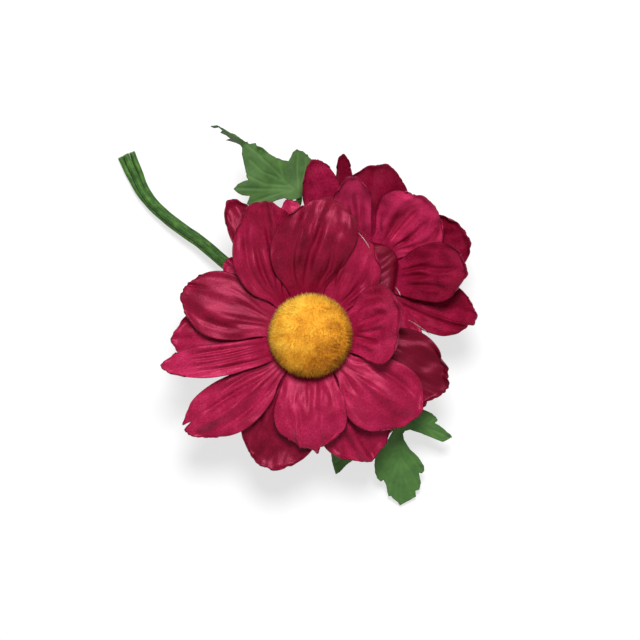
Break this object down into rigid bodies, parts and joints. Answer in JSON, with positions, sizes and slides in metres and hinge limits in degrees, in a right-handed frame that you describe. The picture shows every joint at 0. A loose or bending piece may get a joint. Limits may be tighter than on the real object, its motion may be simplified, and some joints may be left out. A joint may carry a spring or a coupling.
{
  "type": "flower hair clip",
  "caption": "Hair clip dressed with cloth daisies, lobed leaves and a bunch of wire stems on a felt pad, over a sprung toothed alligator clip.",
  "frame": {"origin": "middle of the flat underside of the toothed prong, the face that lies on the hair or on a table", "axes": "+Z points out of the front daisy, -X runs along the clip to its nose, +Y is towards the left leaf"},
  "size_m": [0.1083, 0.1164, 0.0451],
  "materials": {
    "petal_satin": "satin-faced woven polyester cloth, burgundy, with a soft sheen",
    "leaf_cloth": "printed woven polyester cloth, matt leaf green",
    "centre_flock": "flocked foam, golden yellow, matt and fuzzy",
    "calyx_plastic": "moulded green plastic",
    "stem_wrap": "green plastic-wrapped iron wire, slightly shiny",
    "clip_steel": "nickel-plated sheet steel",
    "spring_steel": "bare spring wire",
    "pad_felt": "green craft felt",
    "hot_glue": "set hot-melt glue, milky"
  },
  "bodies": {
    "decorated_jaw": {"front_upper_petals": "petal_satin", "front_lower_petals": "petal_satin", "front_sepals": "leaf_cloth", "front_centre": "centre_flock", "front_calyx": "calyx_plastic", "back_upper_petals": "petal_satin", "back_lower_petals": "petal_satin", "back_sepals": "leaf_cloth", "back_centre": "centre_flock", "back_calyx": "calyx_plastic", "left_leaf": "leaf_cloth", "right_leaf": "leaf_cloth", "left_leaf_stem": "stem_wrap", "right_leaf_stem": "stem_wrap", "front_stem": "stem_wrap", "back_stem": "stem_wrap", "upper_plate": "clip_steel", "hinge_pin": "clip_steel", "torsion_spring": "spring_steel", "felt_pad": "pad_felt", "glue_mound": "hot_glue"},
    "toothed_jaw": {"toothed_prong": "clip_steel"}
  },
  "joints": [
    {"name": "clip_hinge", "type": "hinge", "parent": "decorated_jaw", "child": "toothed_jaw", "pos_m": [0.014, 0, 0.0039], "axis": [0, -1, 0], "range_deg": [0, 25], "stiffness_Nm_per_rad": 0.04, "springref_deg": -68.75, "deforming": ["torsion_spring"]}
  ]
}
